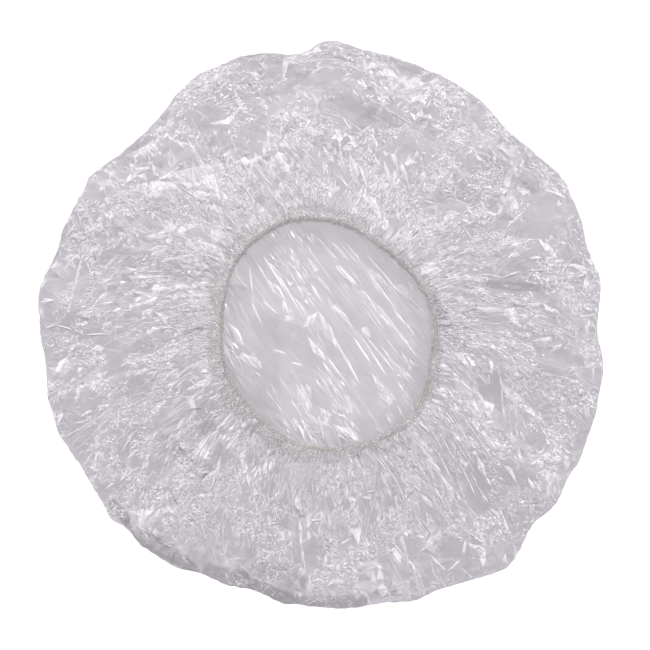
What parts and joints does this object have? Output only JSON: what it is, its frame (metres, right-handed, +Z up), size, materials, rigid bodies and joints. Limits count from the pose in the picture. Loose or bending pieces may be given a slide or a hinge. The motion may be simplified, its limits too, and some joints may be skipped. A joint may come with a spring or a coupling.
{
  "type": "shower cap",
  "caption": "Round clear film shower cap lying crown down, its gathered skirt folded back over the crown to an elastic mouth that stretches open.",
  "frame": {"origin": "on the ground, under the middle of the cap's outline", "axes": "+Z up out of the mouth, with the crown flat on the ground; +Y towards the top of the reference view and +X to its right"},
  "size_m": [0.279, 0.2806, 0.0119],
  "materials": {
    "film": "clear crinkled polyethylene film, glossy",
    "hem": "clear film gathered in fine crinkles round the elastic",
    "elastic": "off-white elastic thread"
  },
  "bodies": {
    "crown": {"crown_film": "film"},
    "pleat_01": {"skirt_pleat_01": "film", "hem_casing_01": "hem", "elastic_band_01": "elastic"},
    "pleat_02": {"skirt_pleat_02": "film", "hem_casing_02": "hem", "elastic_band_02": "elastic"},
    "pleat_03": {"skirt_pleat_03": "film", "hem_casing_03": "hem", "elastic_band_03": "elastic"},
    "pleat_04": {"skirt_pleat_04": "film", "hem_casing_04": "hem", "elastic_band_04": "elastic"},
    "pleat_05": {"skirt_pleat_05": "film", "hem_casing_05": "hem", "elastic_band_05": "elastic"},
    "pleat_06": {"skirt_pleat_06": "film", "hem_casing_06": "hem", "elastic_band_06": "elastic"},
    "pleat_07": {"skirt_pleat_07": "film", "hem_casing_07": "hem", "elastic_band_07": "elastic"},
    "pleat_08": {"skirt_pleat_08": "film", "hem_casing_08": "hem", "elastic_band_08": "elastic"},
    "pleat_09": {"skirt_pleat_09": "film", "hem_casing_09": "hem", "elastic_band_09": "elastic"},
    "pleat_10": {"skirt_pleat_10": "film", "hem_casing_10": "hem", "elastic_band_10": "elastic"},
    "pleat_11": {"skirt_pleat_11": "film", "hem_casing_11": "hem", "elastic_band_11": "elastic"},
    "pleat_12": {"skirt_pleat_12": "film", "hem_casing_12": "hem", "elastic_band_12": "elastic", "elastic_lap_end": "elastic"}
  },
  "joints": [
    {"name": "mouth_open", "type": "hinge", "parent": "crown", "child": "pleat_01", "pos_m": [0.1324, -0.00111, 0.0009], "axis": [-0.0626, 0.998, 0], "range_deg": [0, 45], "stiffness_Nm_per_rad": 0.02},
    {"name": "fold_02", "type": "hinge", "parent": "crown", "child": "pleat_02", "pos_m": [0.11135, 0.06303, 0.0009], "axis": [-0.5479, 0.8365, 0], "range_deg": [0, 45], "stiffness_Nm_per_rad": 0.02},
    {"name": "fold_03", "type": "hinge", "parent": "crown", "child": "pleat_03", "pos_m": [0.0638, 0.11058, 0.0009], "axis": [-0.8365, 0.5479, 0], "range_deg": [0, 45], "stiffness_Nm_per_rad": 0.02},
    {"name": "fold_04", "type": "hinge", "parent": "crown", "child": "pleat_04", "pos_m": [0.00019, 0.12964, 0.0009], "axis": [-1, 0.0069, 0], "range_deg": [0, 45], "stiffness_Nm_per_rad": 0.02},
    {"name": "fold_05", "type": "hinge", "parent": "crown", "child": "pleat_05", "pos_m": [-0.06187, 0.10934, 0.0009], "axis": [-0.7978, -0.603, 0], "range_deg": [0, 45], "stiffness_Nm_per_rad": 0.02},
    {"name": "fold_06", "type": "hinge", "parent": "crown", "child": "pleat_06", "pos_m": [-0.10863, 0.06135, 0.0009], "axis": [-0.5808, -0.814, 0], "range_deg": [0, 45], "stiffness_Nm_per_rad": 0.02},
    {"name": "fold_07", "type": "hinge", "parent": "crown", "child": "pleat_07", "pos_m": [-0.13014, -0.00103, 0.0009], "axis": [-0.0552, -0.9985, 0], "range_deg": [0, 45], "stiffness_Nm_per_rad": 0.02},
    {"name": "fold_08", "type": "hinge", "parent": "crown", "child": "pleat_08", "pos_m": [-0.11427, -0.06661, 0.0009], "axis": [0.5024, -0.8647, 0], "range_deg": [0, 45], "stiffness_Nm_per_rad": 0.02},
    {"name": "fold_09", "type": "hinge", "parent": "crown", "child": "pleat_09", "pos_m": [-0.06519, -0.11263, 0.0009], "axis": [0.8974, -0.4413, 0], "range_deg": [0, 45], "stiffness_Nm_per_rad": 0.02},
    {"name": "fold_10", "type": "hinge", "parent": "crown", "child": "pleat_10", "pos_m": [0.00111, -0.13121, 0.0009], "axis": [0.9959, -0.0907, 0], "range_deg": [0, 45], "stiffness_Nm_per_rad": 0.02},
    {"name": "fold_11", "type": "hinge", "parent": "crown", "child": "pleat_11", "pos_m": [0.06875, -0.11801, 0.0009], "axis": [0.8937, 0.4487, 0], "range_deg": [0, 45], "stiffness_Nm_per_rad": 0.02},
    {"name": "fold_12", "type": "hinge", "parent": "crown", "child": "pleat_12", "pos_m": [0.118, -0.06908, 0.0009], "axis": [0.4547, 0.8906, 0], "range_deg": [0, 45], "stiffness_Nm_per_rad": 0.02}
  ],
  "couplings": [
    {"joint": "fold_02", "follows": "mouth_open", "ratio": 1},
    {"joint": "fold_03", "follows": "mouth_open", "ratio": 1},
    {"joint": "fold_04", "follows": "mouth_open", "ratio": 1},
    {"joint": "fold_05", "follows": "mouth_open", "ratio": 1},
    {"joint": "fold_06", "follows": "mouth_open", "ratio": 1},
    {"joint": "fold_07", "follows": "mouth_open", "ratio": 1},
    {"joint": "fold_08", "follows": "mouth_open", "ratio": 1},
    {"joint": "fold_09", "follows": "mouth_open", "ratio": 1},
    {"joint": "fold_10", "follows": "mouth_open", "ratio": 1},
    {"joint": "fold_11", "follows": "mouth_open", "ratio": 1},
    {"joint": "fold_12", "follows": "mouth_open", "ratio": 1}
  ]
}
